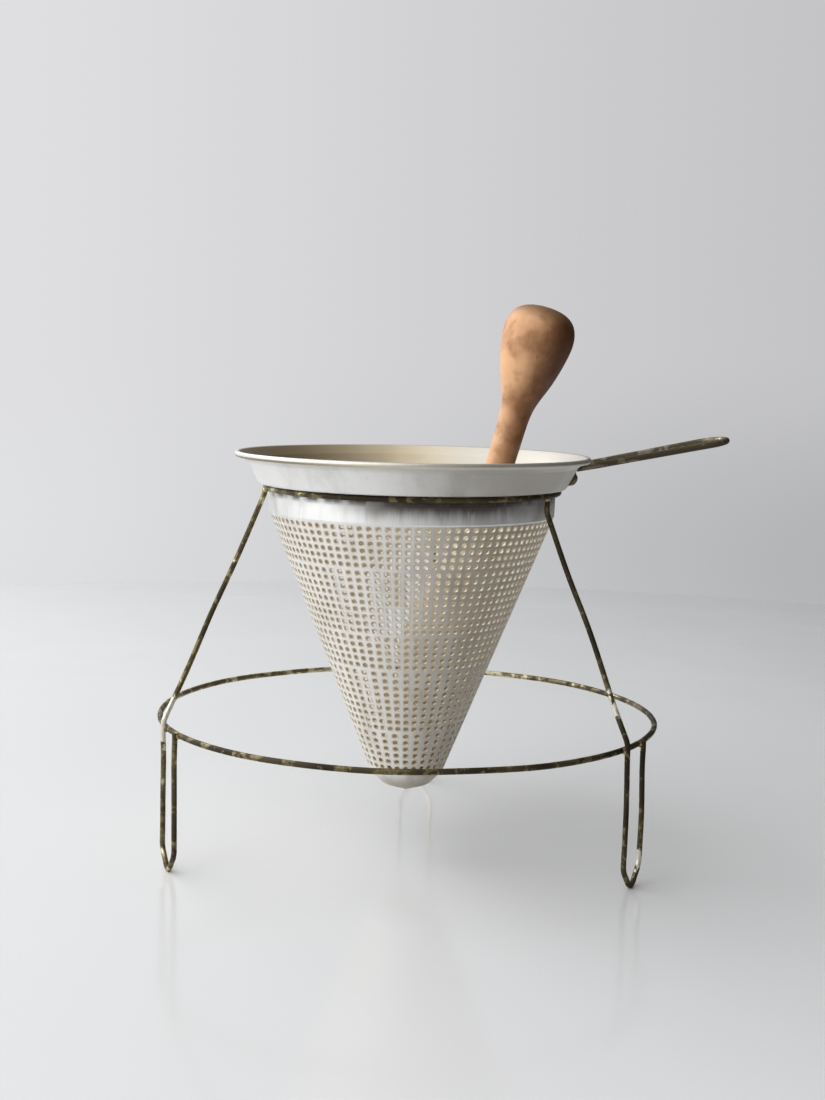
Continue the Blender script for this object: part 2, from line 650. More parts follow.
def wood_material(settings):
    """Turned wood: long grain, pores, pale worn patches and dark oily ones."""
    material, tree, shader = new_material("turned_wood", settings.wood)
    upright = (0, -settings.lean, 0)
    place = placed(tree, turn=upright)
    grain_place = placed(tree, scale=(1, 1, 0.075), turn=upright)
    pore_place = placed(tree, scale=(1, 1, 0.035), turn=upright)
    grain = cloud(tree, grain_place, 210.0, 5.0, 0.62, 0.35)
    pores = cloud(tree, pore_place, 1300.0, 3.0, 0.6)
    blots = use_group(
        tree, blotch_group(), Place=place, Blotch_Scale=24.0, Speck_Scale=150.0, Amount=0.44
    )
    patches = cloud(tree, place, 42.0, 3.0, 0.55, 0.6)
    body = mixed(tree, steps(tree, grain, 0.35, 0.68, 0.35, 0.65), settings.wood, settings.worn)
    body = mixed(tree, math_node(tree, "MULTIPLY", blots.outputs["Blotch"], 0.5), body, settings.oiled)
    body = mixed(tree, steps(tree, patches, 0.54, 0.63, 0.0, 0.6), body, (0.30, 0.12, 0.05, 1))
    body = mixed(tree, steps(tree, pores, 0.58, 0.75, 0.0, 0.55), body, settings.oiled)
    height = add_node(tree, "ShaderNodeSeparateXYZ", {0: place}).outputs["Z"]
    across = add_node(tree, "ShaderNodeSeparateXYZ", {0: place}).outputs["X"]
    uneven = math_node(tree, "MULTIPLY", math_node(tree, "SUBTRACT", patches, 0.5), 16.0 * MM)
    ragged = math_node(tree, "ADD", across, uneven)
    axis = -math.sin(settings.lean) * settings.cross_height
    rubbed = steps(tree, ragged, axis + 3.0 * MM, axis - 9.0 * MM, 0.0, 0.68)
    rubbed = math_node(tree, "MULTIPLY", rubbed, steps(tree, height, 262.0 * MM, 288.0 * MM, 1.0, 0.3))
    body = mixed(tree, rubbed, body, (0.82, 0.49, 0.27, 1))
    spots = cloud(tree, place, 78.0, 3.0, 0.5, 0.15)
    body = mixed(tree, steps(tree, spots, 0.47, 0.72, 0.0, 0.58), body, (0.20, 0.075, 0.025, 1))
    sooted = steps(tree, ragged, axis - 7.0 * MM, axis + 14.0 * MM, 0.0, 0.93)
    body = mixed(tree, sooted, body, (0.075, 0.022, 0.005, 1))
    top = settings.length + math.cos(settings.lean) * settings.cross_height - settings.cross_reach
    crown = steps(tree, height, top - 10.0 * MM, top - 1.0 * MM, 0.0, 0.72)
    body = mixed(tree, crown, body, (0.13, 0.08, 0.03, 1))
    floury = steps(tree, height, 205.0 * MM, 180.0 * MM, 0.0, 0.9)
    body = mixed(tree, floury, body, (0.56, 0.47, 0.33, 1))
    relief = math_node(tree, "ADD", grain, math_node(tree, "MULTIPLY", pores, 0.6))
    feed(
        tree, shader, Base_Color=body, Roughness=steps(tree, patches, 0.35, 0.7, 0.46, 0.6),
        Specular_IOR_Level=0.22, Normal=bumped(tree, relief, 0.18, 0.25 * MM),
    )
    return material


# ---------------------------------------------------------------- geometry node trees

def tree_inputs(modifier, values):
    """Set a modifier's inputs by their sockets' identifiers."""
    for item in modifier.node_group.interface.items_tree:
        if item.item_type == "SOCKET" and item.in_out == "INPUT" and item.name in values:
            modifier[item.identifier] = values[item.name]


def grown(tree, values, start=None):
    """The plain mesh that a geometry tree makes, from a start mesh where it needs one."""
    mesh = start or bpy.data.meshes.new("seed")
    seed = link("seed", mesh)
    modifier = seed.modifiers.new("grow", "NODES")
    modifier.node_group = tree
    tree_inputs(modifier, values)
    settle(seed)
    result = seed.data
    bpy.data.objects.remove(seed)
    return result


def tier_tree():
    """Tree: one tier of perforations, a pierced tile repeated round the cone."""
    tree, given, result = new_group(
        "perforated_tier", "GeometryNodeTree",
        (("Tile", "NodeSocketObject", None), ("Columns", "NodeSocketInt", 48), ("Rows", "NodeSocketInt", 6),
         ("Middle Slant", "NodeSocketFloat", 0.1), ("Row Pitch", "NodeSocketFloat", 0.004),
         ("Middle Azimuth", "NodeSocketFloat", 0.0), ("Hole Radius", "NodeSocketFloat", 0.0015),
         ("Half Angle", "NodeSocketFloat", 0.38), ("Apex Height", "NodeSocketFloat", 0.0),
         ("Material", "NodeSocketMaterial", None)),
        (("Geometry", "NodeSocketGeometry"),),
    )
    value = given.outputs
    grid = add_node(tree, "GeometryNodeMeshGrid", {
        "Size X": math_node(tree, "SUBTRACT", value["Columns"], 1.0),
        "Size Y": math_node(tree, "SUBTRACT", value["Rows"], 1.0),
        "Vertices X": value["Columns"], "Vertices Y": value["Rows"],
    })
    tile = add_node(tree, "GeometryNodeObjectInfo", {"Object": value["Tile"]})
    tiles = add_node(
        tree, "GeometryNodeInstanceOnPoints",
        {"Points": grid.outputs["Mesh"], "Instance": tile.outputs["Geometry"]},
    )
    loose = add_node(tree, "GeometryNodeRealizeInstances", {0: tiles.outputs[0]})
    place = add_node(tree, "ShaderNodeSeparateXYZ", {0: add_node(tree, "GeometryNodeInputPosition").outputs[0]})
    named = add_node(tree, "GeometryNodeInputNamedAttribute", {"Name": "hole_way"}, data_type="FLOAT_VECTOR")
    way = add_node(tree, "ShaderNodeSeparateXYZ", {0: named.outputs[0]})
    up = math_node(tree, "MULTIPLY", place.outputs["Y"], value["Row Pitch"])
    up = math_node(tree, "ADD", up, math_node(tree, "MULTIPLY", way.outputs["Y"], value["Hole Radius"]))
    slant = math_node(tree, "ADD", value["Middle Slant"], up)
    radius = math_node(tree, "MULTIPLY", slant, math_node(tree, "SINE", value["Half Angle"]))
    height = math_node(tree, "MULTIPLY", slant, math_node(tree, "COSINE", value["Half Angle"]))
    height = math_node(tree, "ADD", height, value["Apex Height"])
    step = math_node(tree, "DIVIDE", 2 * math.pi, value["Columns"])
    turn = math_node(tree, "MULTIPLY", place.outputs["X"], step)
    reach = math_node(tree, "MULTIPLY", way.outputs["X"], value["Hole Radius"])
    turn = math_node(tree, "ADD", turn, math_node(tree, "DIVIDE", reach, radius))
    turn = math_node(tree, "ADD", turn, value["Middle Azimuth"])
    point = add_node(tree, "ShaderNodeCombineXYZ", {
        "X": math_node(tree, "MULTIPLY", radius, math_node(tree, "COSINE", turn)),
        "Y": math_node(tree, "MULTIPLY", radius, math_node(tree, "SINE", turn)),
        "Z": height,
    })
    rolled = add_node(tree, "GeometryNodeSetPosition", {"Geometry": loose.outputs[0], "Position": point.outputs[0]})
    merged = add_node(tree, "GeometryNodeMergeByDistance", {"Geometry": rolled.outputs[0], "Distance": 1e-5})
    whole = add_node(tree, "GeometryNodeRealizeInstances", {0: merged.outputs[0]})
    coated = add_node(tree, "GeometryNodeSetMaterial", {"Geometry": whole.outputs[0], "Material": value["Material"]})
    tree.links.new(coated.outputs[0], result.inputs[0])
    return tree


def fixing_tree():
    """Tree: one small part set on each point, standing along the point's own way."""
    tree, given, result = new_group(
        "fixings", "GeometryNodeTree",
        (("Geometry", "NodeSocketGeometry", None), ("Part", "NodeSocketObject", None),
         ("Smallest", "NodeSocketFloat", 1.0), ("Largest", "NodeSocketFloat", 1.0),
         ("Seed", "NodeSocketInt", 0), ("Material", "NodeSocketMaterial", None)),
        (("Geometry", "NodeSocketGeometry"),),
    )
    value = given.outputs
    part = add_node(tree, "GeometryNodeObjectInfo", {"Object": value["Part"]})
    named = add_node(tree, "GeometryNodeInputNamedAttribute", {"Name": "way"}, data_type="FLOAT_VECTOR")
    turned = add_node(tree, "FunctionNodeAlignRotationToVector", {"Vector": named.outputs[0]}, axis="Z")
    grow = add_node(tree, "FunctionNodeRandomValue", data_type="FLOAT")
    spin = add_node(tree, "FunctionNodeRandomValue", data_type="FLOAT")
    for node, low, high in ((grow, value["Smallest"], value["Largest"]), (spin, 0.0, 2 * math.pi)):
        ends = [socket for socket in node.inputs if socket.type == "VALUE" and socket.enabled]
        for socket, end in zip(ends, (low, high)):
            if isinstance(end, bpy.types.NodeSocket):
                tree.links.new(end, socket)
            else:
                socket.default_value = end
        tree.links.new(value["Seed"], node.inputs["Seed"])
    own_spin = add_node(tree, "ShaderNodeCombineXYZ", {"Z": spin.outputs["Value"]})
    to_rotation = add_node(tree, "FunctionNodeEulerToRotation", {0: own_spin.outputs[0]})
    rotation = add_node(tree, "FunctionNodeRotateRotation", {
        "Rotation": turned.outputs[0], "Rotate By": to_rotation.outputs[0]}, rotation_space="LOCAL")
    parts = add_node(tree, "GeometryNodeInstanceOnPoints", {
        "Points": value["Geometry"], "Instance": part.outputs["Geometry"],
        "Rotation": rotation.outputs[0], "Scale": grow.outputs["Value"]})
    whole = add_node(tree, "GeometryNodeRealizeInstances", {0: parts.outputs[0]})
    coated = add_node(tree, "GeometryNodeSetMaterial", {"Geometry": whole.outputs[0], "Material": value["Material"]})
    tree.links.new(coated.outputs[0], result.inputs[0])
    return tree


def points_mesh(places, ways):
    """A mesh of loose points, each with the way it faces."""
    mesh = bpy.data.meshes.new("points")
    mesh.from_pydata(places, [], [])
    attribute = mesh.attributes.new("way", "FLOAT_VECTOR", "POINT")
    for item, way in zip(attribute.data, ways):
        item.vector = way
    return mesh


def fixings(name, part, places, ways, seed, material, spread=(1.0, 1.0)):
    """One object of the part set on every place."""
    values = {"Part": part, "Seed": seed, "Material": material, "Smallest": spread[0], "Largest": spread[1]}
    mesh = grown(fixing_tree(), values, points_mesh(places, ways))
    bpy.data.objects.remove(part)
    mesh.name = name
    return link(name, mesh)


# ---------------------------------------------------------------- cone sieve

CONE_FOOT = Vector((19.6 * MM, 0, 40.9 * MM))
CONE_TOP = Vector((75.4 * MM, 0, 180.0 * MM))
BAND_RADIUS = 76.7 * MM
STEP_RADIUS = 82.2 * MM
COLLAR_TOP = Vector((88.5 * MM, 0, 208.8 * MM))
HALF_ANGLE = math.atan2(CONE_TOP.x - CONE_FOOT.x, CONE_TOP.z - CONE_FOOT.z)
APEX_HEIGHT = CONE_FOOT.z - CONE_FOOT.x / math.tan(HALF_ANGLE)
# Each tier from the top: columns of holes round the cone, rows of holes down it.
TIERS = ((95, 6), (79, 9), (63, 5), (47, 9), (31, 6))
TIER_GAP = 0.5 * MM
TILE_SIDES = 12
COLLAR_SEGMENTS = 190


def slant_at(height):
    """Distance from the cone's apex, down its side, of a height."""
    return (height - APEX_HEIGHT) / math.cos(HALF_ANGLE)


def cone_point(slant):
    """Radius and height of a slant distance."""
    return Vector((slant * math.sin(HALF_ANGLE), 0, APEX_HEIGHT + slant * math.cos(HALF_ANGLE)))


def tile_object():
    """A unit tile round one hole. The hole's corners hold only the way they lie from its middle."""
    bm = bmesh.new()
    bm.verts.layers.float_vector.new("hole_way")
    near_hole = bm.verts.layers.float.new("near_hole")
    way = bm.verts.layers.float_vector["hole_way"]
    thirds = [-0.5, -1 / 6, 1 / 6]
    border = [(x, -0.5) for x in thirds] + [(0.5, y) for y in thirds]
    border += [(-x, 0.5) for x in thirds] + [(-0.5, -y) for y in thirds]
    outer = [bm.verts.new((x, y, 0)) for x, y in border]
    inner = []
    for k in range(TILE_SIDES):
        turn = math.radians(225 + 360 * k / TILE_SIDES)
        corner = bm.verts.new((0, 0, 0))
        corner[way] = Vector((math.cos(turn), math.sin(turn), 0))
        corner[near_hole] = 1.0
        inner.append(corner)
    for k in range(TILE_SIDES):
        after = (k + 1) % TILE_SIDES
        bm.faces.new((outer[k], outer[after], inner[after], inner[k]))
    return to_object("tile", bm)


def rings_at(bm, height):
    """The open ring of points at this height."""
    return [v for v in bm.verts if v.is_boundary and abs(v.co.z - height) < 0.02 * MM]


class FOODPRESS_OT_cone(bpy.types.Operator):
    """Perforated cone and its plain dome"""
    bl_idname = "foodpress.cone"
    bl_label = "Perforated Cone"

    def execute(self, context):
        settings = context.scene.food_press_sieve
        outside = aluminium_material(settings)
        tile = tile_object()
        tree = tier_tree()
        bm = bmesh.new()
        top = slant_at(settings.first_row) + settings.row_pitch / 2
        edges = []
        for columns, rows in TIERS:
            bottom = top - rows * settings.row_pitch
            values = {
                "Tile": tile, "Columns": columns, "Rows": rows, "Middle Slant": (top + bottom) / 2,
                "Row Pitch": settings.row_pitch - TIER_GAP / rows, "Middle Azimuth": settings.column_azimuth,
                "Hole Radius": settings.hole / 2, "Half Angle": HALF_ANGLE, "Apex Height": APEX_HEIGHT,
                "Material": outside,
            }
            bm.from_mesh(grown(tree, values))
            edges.append((cone_point(bottom + TIER_GAP / 2).z, cone_point(top - TIER_GAP / 2).z))
            top = bottom
        bpy.data.objects.remove(tile)
        for (low, _), (_, high) in zip(edges, edges[1:]):
            zip_rings(bm, rings_at(bm, high), rings_at(bm, low))
        foot = edges[-1][0]
        corners = [
            Vector((0, 0, TIP_HEIGHT)), Vector((12.6 * MM, 0, TIP_HEIGHT + 4.2 * MM)), CONE_FOOT,
            cone_point(slant_at(foot) - 0.4 * MM),
        ]
        outline = divided(rounded_line(corners, (8.0 * MM, 4.0 * MM)), 2.0 * MM)
        dome = add_lathe(bm, outline, TIERS[-1][0] * 3, settings.column_azimuth)
        zip_rings(bm, dome[-1], rings_at(bm, foot))
        piece = to_object("perforated_cone", bm)
        solid = piece.modifiers.new("sheet", "SOLIDIFY")
        solid.thickness = settings.sheet
        solid.offset = -1.0
        solid.use_even_offset = True
        solid.material_offset = 1
        solid.material_offset_rim = 2
        piece.data.materials.clear()
        for material in (outside, stained_material(settings), hole_edge_material(settings)):
            piece.data.materials.append(material)
        settle(piece)
        smooth(piece)
        hand_over(piece, "cone_sieve", "sieve_sheet", "sieve")
        return {"FINISHED"}


class FOODPRESS_OT_collar(bpy.types.Operator):
    """Plain band, step, collar and rolled rim"""
    bl_idname = "foodpress.collar"
    bl_label = "Collar and Rolled Rim"

    def execute(self, context):
        settings = context.scene.food_press_sieve
        start = cone_point(slant_at(settings.first_row) + settings.row_pitch / 2 - TIER_GAP / 2)
        bend = cone_point(slant_at(settings.first_row) + settings.row_pitch * 0.65)
        curl = RIM_BEAD - settings.sheet
        flare = (RIM_CENTRE - COLLAR_TOP).normalized()
        leave = math.atan2(flare.x, -flare.z)
        meeting = RIM_CENTRE + Vector((math.cos(leave), 0, math.sin(leave))) * curl
        corners = [
            start, bend, Vector((BAND_RADIUS, 0, STEP_HEIGHT)), Vector((STEP_RADIUS, 0, STEP_HEIGHT)),
            COLLAR_TOP, meeting,
        ]
        outline = rounded_line(corners, (1.2 * MM, 1.2 * MM, 2.4 * MM, 2.0 * MM), 6)
        curl_end = math.radians(-150)
        turns = 20
        for i in range(1, turns + 1):
            turn = leave + (curl_end - leave) * i / turns
            outline.append(RIM_CENTRE + Vector((math.cos(turn), 0, math.sin(turn))) * curl)
        bm = bmesh.new()
        add_lathe(bm, divided(outline, 2.6 * MM), COLLAR_SEGMENTS, settings.column_azimuth)
        for vertex in bm.verts:
            height = vertex.co.z
            share = min(1.0, max(0.0, (height - start.z) / (6 * MM)))
            share *= min(1.0, max(0.0, (STEP_HEIGHT - 1.5 * MM - height) / (5 * MM)))
            dent = noise.noise(vertex.co * 55.0) * 0.55 * MM * share
            radial = Vector((vertex.co.x, vertex.co.y, 0)).normalized()
            vertex.co += radial * min(dent, 0.12 * MM)
        band = [face for face in bm.faces if face.calc_center_median().z < STEP_HEIGHT - 0.2 * MM]
        for face in band:
            face.material_index = 3
        piece = to_object("collar_and_rim", bm)
        solid = piece.modifiers.new("sheet", "SOLIDIFY")
        solid.thickness = settings.sheet
        solid.offset = -1.0
        solid.use_even_offset = True
        solid.material_offset = 1
        names = ("satin_aluminium", "stained_aluminium", "hole_edges")
        for name in names:
            piece.data.materials.append(bpy.data.materials[name])
        piece.data.materials.append(bright_band_material(settings))
        piece.data.materials.append(bpy.data.materials["stained_aluminium"])
        settle(piece)
        rim_start = RIM_CENTRE.z - 0.2 * MM
        for face in piece.data.polygons:
            reach = math.hypot(face.center.x, face.center.y)
            if face.center.z > rim_start and reach > RIM_CENTRE.x - 1.1 * MM:
                face.material_index = 0
        smooth(piece)
        hand_over(piece, "cone_sieve", "sieve_sheet", "sieve")
        return {"FINISHED"}


# ---------------------------------------------------------------- wire stand

WELD_BITE = 0.3 * MM
BEAD_RADIUS = 1.9 * MM
LEG_TOP_OUTSET = 0.6 * MM
FOOT_BEND = 4.0 * MM
LEG_BENDS = (6.0 * MM, 12.0 * MM, 9.0 * MM, FOOT_BEND, 9.0 * MM)
# Each leg: azimuth of its top, azimuth of its foot, and the upright drop under the ring.
LEGS = {
    "left_leg": (math.radians(190.0), math.radians(206.6), 2.0 * MM),
    "right_leg": (math.radians(331.5), math.radians(327.7), 7.5 * MM),
    "back_leg": (math.radians(81.0), math.radians(87.2), 5.0 * MM),
}


def foot_corner_height(settings):
    """Height of the foot's corner, so that its arc, which passes inside it, stands on the floor."""
    corner = 0.0
    for _ in range(30):
        slope = math.atan2(settings.foot_point - corner, settings.prong_spacing / 2)
        corner = settings.leg_wire / 2 - FOOT_BEND * (1 / math.cos(slope) - 1)
    return corner


def leg_corners(settings, leg):
    """A leg's line: under the upper ring, down to the first prong, round the foot and up."""
    top_azimuth, foot_azimuth, drop = LEGS[leg]
    top_radius = UPPER_RADIUS + LEG_TOP_OUTSET
    top = UPPER_HEIGHT - RING_WIRE + WELD_BITE
    prong_radius = LOWER_RADIUS + RING_WIRE + settings.leg_wire / 2 - WELD_BITE
    half_turn = math.asin(settings.prong_spacing / 2 / prong_radius)
    first = foot_azimuth - half_turn
    second = foot_azimuth + half_turn
    foot_radius = prong_radius * math.cos(half_turn)
    return [
        around(top_radius, top_azimuth, top),
        around(top_radius, top_azimuth, top - drop),
        around(prong_radius, first, settings.prong_top),
        around(prong_radius, first, settings.foot_point),
        around(foot_radius, foot_azimuth, foot_corner_height(settings)),
        around(prong_radius, second, settings.foot_point),
        around(prong_radius, second, LOWER_HEIGHT + RING_WIRE),
    ]


class FOODPRESS_OT_stand(bpy.types.Operator):
    """Two wire hoops and three bent legs"""
    bl_idname = "foodpress.stand"
    bl_label = "Wire Stand"

    def execute(self, context):
        settings = context.scene.food_press_stand
        left, right = leg_corners(settings, "left_leg"), leg_corners(settings, "right_leg")
        chips = (
            (left[2], 7.0 * MM), (right[2].lerp(right[1], 0.15), 3.2 * MM), (right[5], 3.4 * MM),
        )
        wire, chipped_wire = (
            wire_material(
                name, settings.dark, settings.olive, settings.bright, (-0.12, 0.12),
                (0, 0, math.radians(-15)), marks,
            )
            for name, marks in (("tarnished_plating", ()), ("chipped_plating", chips))
        )
        hoops = (
            ("upper_hoop", "upper_ring", UPPER_RADIUS, UPPER_HEIGHT, 0.12 * MM),
            ("lower_hoop", "lower_ring", LOWER_RADIUS, LOWER_HEIGHT, 0.5 * MM),
        )
        for name, node, radius, height, wave in hoops:
            bm = bmesh.new()
            count = 240
            line = [around(radius, 2 * math.pi * i / count, height) for i in range(count)]
            add_tube(bm, [wavy(point, wave, 16.0) for point in line], RING_WIRE, 16, closed=True)
            self.close_piece(to_object(name, bm), wire, node)
        for leg in LEGS:
            line = divided(rounded_line(leg_corners(settings, leg), LEG_BENDS), 3.0 * MM)
            bm = bmesh.new()
            add_tube(bm, [self.hand_bent(point) for point in line], settings.leg_wire / 2)
            self.close_piece(to_object(f"{leg}_wire", bm), chipped_wire, leg)
        return {"FINISHED"}

    def hand_bent(self, point):
        """Wavy between its fixed ends, and flat on the floor."""
        free = min(1.0, point.z / (12 * MM)) * min(1.0, abs(point.z - LOWER_HEIGHT) / (15 * MM))
        return wavy(point, 0.9 * MM * free, 24.0)

    def close_piece(self, piece, material, node):
        piece.data.materials.append(material)
        smooth(piece, 60)
        hand_over(piece, "stand", "stand_wire", node)


class FOODPRESS_OT_brazing(bpy.types.Operator):
    """Brazed beads where the legs meet the hoops"""
    bl_idname = "foodpress.brazing"
    bl_label = "Brazed Joints"

    def execute(self, context):
        settings = context.scene.food_press_stand
        places = []
        ways = []
        contact = LOWER_RADIUS + RING_WIRE - WELD_BITE / 2
        for leg in LEGS:
            corners = leg_corners(settings, leg)
            top = corners[0]
            places.append(Vector((top.x, top.y, top.z - WELD_BITE / 2)))
            ways.append((-top.y, top.x, 0))
            for prong in (corners[3], corners[6]):
                azimuth = math.atan2(prong.y, prong.x)
                places.append(around(contact, azimuth, LOWER_HEIGHT))
                ways.append((0, 0, 1))
        bm = bmesh.new()
        bmesh.ops.create_icosphere(bm, subdivisions=3, radius=BEAD_RADIUS)
        for vertex in bm.verts:
            lump = 1 + 0.16 * noise.noise(vertex.co * 900.0)
            vertex.co = Vector((vertex.co.x * 0.92, vertex.co.y * 0.92, vertex.co.z * 1.12)) * lump
        bead = to_object("bead", bm)
        piece = fixings("brazed_joints", bead, places, ways, 7, brass_material(), (0.92, 1.06))
        smooth(piece, 80)
        hand_over(piece, "stand", "stand_wire", "weld_beads")
        return {"FINISHED"}


# ---------------------------------------------------------------- handle and rivets

HANDLE_BENDS = (1.6 * MM, 12.0 * MM, 11.6 * MM, 11.6 * MM, 12.0 * MM, 1.6 * MM)
HANDLE_ROOT = Vector((89.4 * MM, 0, 207.1 * MM))
HANDLE_KNEE = Vector((100.0 * MM, 0, 209.0 * MM))
HANDLE_TIP = Vector((177.8 * MM, 0, 223.6 * MM))
KNEE_SPREAD = 0.2
WIRE_END_SHARE = 0.9


def on_wall(settings, azimuth):
    """Matrix of a place on the collar's outside at the pads' height, with +Z out of the wall."""
    run = COLLAR_TOP.x - STEP_RADIUS
    rise = COLLAR_TOP.z - STEP_HEIGHT
    radius = STEP_RADIUS + (settings.pad_height - STEP_HEIGHT) * run / rise
    tilt = math.pi / 2 + math.atan2(run, rise)
    turned = Matrix.Rotation(azimuth, 4, "Z") @ Matrix.Rotation(tilt, 4, "Y")
    return Matrix.Translation(around(radius, azimuth, settings.pad_height)) @ turned


def handle_corners(settings):
    """The wire's line from one pad, out along one strand, round the tip and back."""
    root_half = HANDLE_ROOT.x * math.sin(settings.pad_angle)
    far = [on_wall(settings, settings.pad_angle) @ Vector(
        (-settings.pad_radius * WIRE_END_SHARE, 0, settings.pad_thickness / 2))]
    for point, share in ((HANDLE_ROOT, 0), (HANDLE_KNEE, KNEE_SPREAD), (HANDLE_TIP, 1)):
        half_width = root_half + (settings.tip_half_width - root_half) * share
        far.append(Vector((point.x, half_width, point.z)))
    near = [Vector((point.x, -point.y, point.z)) for point in reversed(far)]
    turn = Matrix.Rotation(settings.azimuth, 4, "Z")
    return [turn @ point for point in far + near]


class FOODPRESS_OT_handle(bpy.types.Operator):
    """Bent wire handle with its flattened ends"""
    bl_idname = "foodpress.handle"
    bl_label = "Wire Handle"

    def execute(self, context):
        settings = context.scene.food_press_handle
        bm = bmesh.new()
        line = divided(rounded_line(handle_corners(settings), HANDLE_BENDS), 2.5 * MM)
        whole = settings.wire / 2

        def pinched(share):
            end = min(share, 1 - share)
            return whole * min(1.0, 0.55 + end * 18)

        add_tube(bm, line, pinched, 18)
        for side in (-1, 1):
            place = on_wall(settings, settings.azimuth + side * settings.pad_angle)
            rounding = 0.5 * MM
            profile = [
                Vector((0, 0, 0.05 * MM)), Vector((settings.pad_radius, 0, 0.05 * MM)),
                Vector((settings.pad_radius, 0, settings.pad_thickness)), Vector((0, 0, settings.pad_thickness)),
            ]
            pad = bmesh.new()
            add_lathe(pad, rounded_line(profile, (0.2 * MM, rounding), 5), 40)
            pad.transform(place)
            mesh = bpy.data.meshes.new("pad")
            pad.to_mesh(mesh)
            pad.free()
            bm.from_mesh(mesh)
            bpy.data.meshes.remove(mesh)
        piece = to_object("wire_handle", bm)
        wire = wire_material(
            "tarnished_handle_wire", settings.dark, (0.19, 0.16, 0.105, 1), settings.pale,
            (-9.0 * MM, 7.0 * MM), (0, 0, -settings.azimuth),
        )
        piece.data.materials.append(wire)
        smooth(piece, 50)
        hand_over(piece, "cone_sieve", "handle_wire", "handle")
        return {"FINISHED"}


class FOODPRESS_OT_rivets(bpy.types.Operator):
    """Two rivets that hold the handle"""
    bl_idname = "foodpress.rivets"
    bl_label = "Handle Rivets"

    def execute(self, context):
        settings = context.scene.food_press_handle
        sheet = context.scene.food_press_sieve.sheet
        head = 3.6 * MM
        rise = 2.8 * MM
        burr = 2.5 * MM
        outline = [
            Vector((0, 0, -sheet - 0.8 * MM)), Vector((burr * 0.8, 0, -sheet - 0.75 * MM)),
            Vector((burr, 0, -sheet - 0.3 * MM)), Vector((burr, 0, -sheet - 0.06 * MM)),
            Vector((1.6 * MM, 0, -sheet - 0.06 * MM)), Vector((1.6 * MM, 0, settings.pad_thickness)),
        ]
        rounds = 6
        for i in range(rounds + 1):
            turn = math.pi / 2 * i / rounds
            share = Vector((math.cos(turn), 0, math.sin(turn)))
            outline.append(Vector((head * share.x, 0, settings.pad_thickness + rise * share.z)))
        outline[-1].x = 0
        bm = bmesh.new()
        add_lathe(bm, outline, 24)
        for vertex in bm.verts:
            if vertex.co.z > settings.pad_thickness + 0.2 * MM:
                vertex.co.z += 0.14 * MM * noise.noise(vertex.co * 700.0)
        rivet = to_object("rivet", bm)
        wall = [on_wall(settings, settings.azimuth + side * settings.pad_angle) for side in (-1, 1)]
        places = [place.translation for place in wall]
        ways = [place.to_3x3() @ Vector((0, 0, 1)) for place in wall]
        piece = fixings("rivets", rivet, places, ways, 3, rust_material(settings))
        smooth(piece, 45)
        hand_over(piece, "cone_sieve", "rivet_metal", "handle_rivets")
        return {"FINISHED"}


# ---------------------------------------------------------------- pestle

POINT = 14.6 * MM
BODY = 24.0 * MM
NECK = 7.8 * MM
KNOB = 18.8 * MM
# Control points of the turned outline: a radius, its share, and the share of the length.
PESTLE_TURNING = (
    (POINT, 0.00, 0.000), (POINT, 0.44, 0.000), (POINT, 0.87, 0.016), (POINT, 1.05, 0.043),
    (BODY, 0.77, 0.119), (BODY, 0.905, 0.219), (BODY, 1.05, 0.310), (BODY, 0.92, 0.391),
    (BODY, 0.54, 0.466), (NECK, 1.06, 0.557), (NECK, 0.95, 0.647), (NECK, 1.02, 0.728),
    (NECK, 1.01, 0.798), (KNOB, 0.75, 0.844), (KNOB, 0.98, 0.907), (KNOB, 1.10, 0.965),
    (KNOB, 0.68, 1.000), (KNOB, 0.00, 1.000),
)


class FOODPRESS_OT_pestle(bpy.types.Operator):
    """Turned wooden pestle"""
    bl_idname = "foodpress.pestle"
    bl_label = "Pestle"

    def execute(self, context):
        settings = context.scene.food_press_pestle
        poles = [(radius * share, 0, settings.length * rise) for radius, share, rise in PESTLE_TURNING]
        outline = spline_points(poles, 7)
        outline[0].x = 0
        outline[-1].x = 0
        bm = bmesh.new()
        add_lathe(bm, outline, 96)
        for vertex in bm.verts:
            worn = noise.noise(Vector((vertex.co.x, vertex.co.y, vertex.co.z * 0.5)) * 42.0)
            vertex.co -= Vector((vertex.co.x, vertex.co.y, 0)).normalized() * 0.22 * MM * (worn + 1) / 2
        lean = Matrix.Rotation(settings.lean, 4, "Y")
        foot = Vector((0, 0, settings.cross_height)) - lean @ Vector((0, 0, settings.cross_reach))
        bm.transform(Matrix.Translation(foot) @ lean)
        piece = to_object("turned_pestle", bm)
        piece.data.materials.append(wood_material(settings))
        smooth(piece, 60)
        hand_over(piece, "pestle", "pestle_wood", "pestle")
        return {"FINISHED"}


# ---------------------------------------------------------------- stage

CAMERA_PLACE = Vector((-3.04 * MM, -888.2 * MM, 260.0 * MM))
FLOOR_RADIUS = 1.1
WALL_BEND = 0.5
WALL_HEIGHT = 2.2
# Colours of the backdrop's foot, which meet the floor's far edge.
FOOT_LEFT = (0.80, 0.805, 0.815, 1)
FOOT_RIGHT = (0.40, 0.405, 0.415, 1)


def stage_material(settings):
    """Pale glossy floor."""
    material, tree, shader = new_material("pale_floor", settings.floor)
    scuffs = cloud(tree, placed(tree), 6.0, 4.0)
    feed(tree, shader, Base_Color=settings.floor, Roughness=steps(tree, scuffs, 0.3, 0.7, 0.10, 0.17))
    return material


